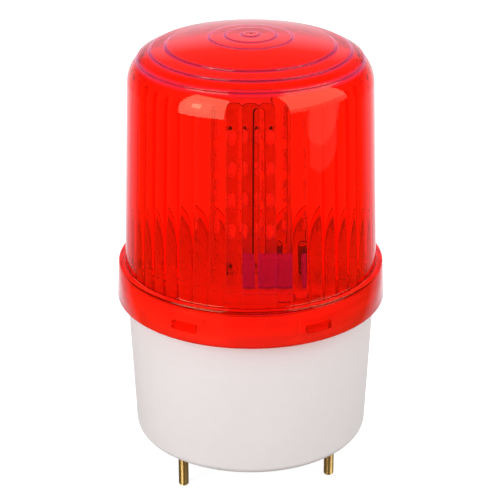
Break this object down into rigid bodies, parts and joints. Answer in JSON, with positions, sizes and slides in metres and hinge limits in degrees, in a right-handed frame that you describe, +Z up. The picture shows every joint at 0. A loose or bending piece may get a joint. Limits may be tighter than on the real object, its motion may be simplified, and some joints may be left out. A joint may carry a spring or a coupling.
{
  "type": "flashing warning light",
  "caption": "Round red beacon: a twist-off clear lens with a skirt on a white base cup, a tower of diodes inside, and threaded studs below.",
  "frame": {"origin": "centre of the base cup's underside, the face that seats on a panel", "axes": "+Z up along the light's axis, -Y towards the side that the picture shows, +X to its right"},
  "size_m": [0.1, 0.1, 0.1732],
  "materials": {
    "housing": "fine matt moulded white",
    "lens": "clear red moulding, polished outside, fluted inside",
    "seal": "pale silicone",
    "stud": "yellow zinc plate",
    "plug": "matt black",
    "board": "white lacquer on laminate",
    "screw": "bright zinc plate",
    "terminal": "moulded green",
    "film_case": "moulded blue case",
    "sleeve": "shrunk black sleeve",
    "coating": "dipped coating",
    "black_moulding": "moulded black",
    "diode": "clear resin"
  },
  "bodies": {
    "base": {"base_housing": "housing", "lens_seal": "seal", "mounting_bolt_1": "stud", "mounting_bolt_2": "stud", "mounting_bolt_3": "stud", "inlet_plug": "plug", "main_board": "board", "board_screw_1": "screw", "board_screw_2": "screw", "board_screw_3": "screw", "terminal_block": "terminal", "film_capacitor": "film_case", "smoothing_capacitor": "sleeve", "timing_capacitor": "sleeve", "varistor": "coating", "dropper_resistor": "coating", "flasher_chip": "black_moulding", "bridge_rectifier": "black_moulding", "led_board_front": "board", "led_board_right": "board", "led_board_back": "board", "led_board_left": "board", "led_front_1": "diode", "led_front_2": "diode", "led_front_3": "diode", "led_front_4": "diode", "led_front_5": "diode", "led_front_6": "diode", "led_front_7": "diode", "led_front_8": "diode", "led_right_1": "diode", "led_right_2": "diode", "led_right_3": "diode", "led_right_4": "diode", "led_right_5": "diode", "led_right_6": "diode", "led_right_7": "diode", "led_right_8": "diode", "led_back_1": "diode", "led_back_2": "diode", "led_back_3": "diode", "led_back_4": "diode", "led_back_5": "diode", "led_back_6": "diode", "led_back_7": "diode", "led_back_8": "diode", "led_left_1": "diode", "led_left_2": "diode", "led_left_3": "diode", "led_left_4": "diode", "led_left_5": "diode", "led_left_6": "diode", "led_left_7": "diode", "led_left_8": "diode"},
    "lens": {"lens": "lens"}
  },
  "joints": [
    {"name": "lens_twist", "type": "hinge", "parent": "base", "child": "lens", "pos_m": [0, 0, 0.061], "axis": [0, 0, 1], "range_deg": [0, 20]}
  ]
}
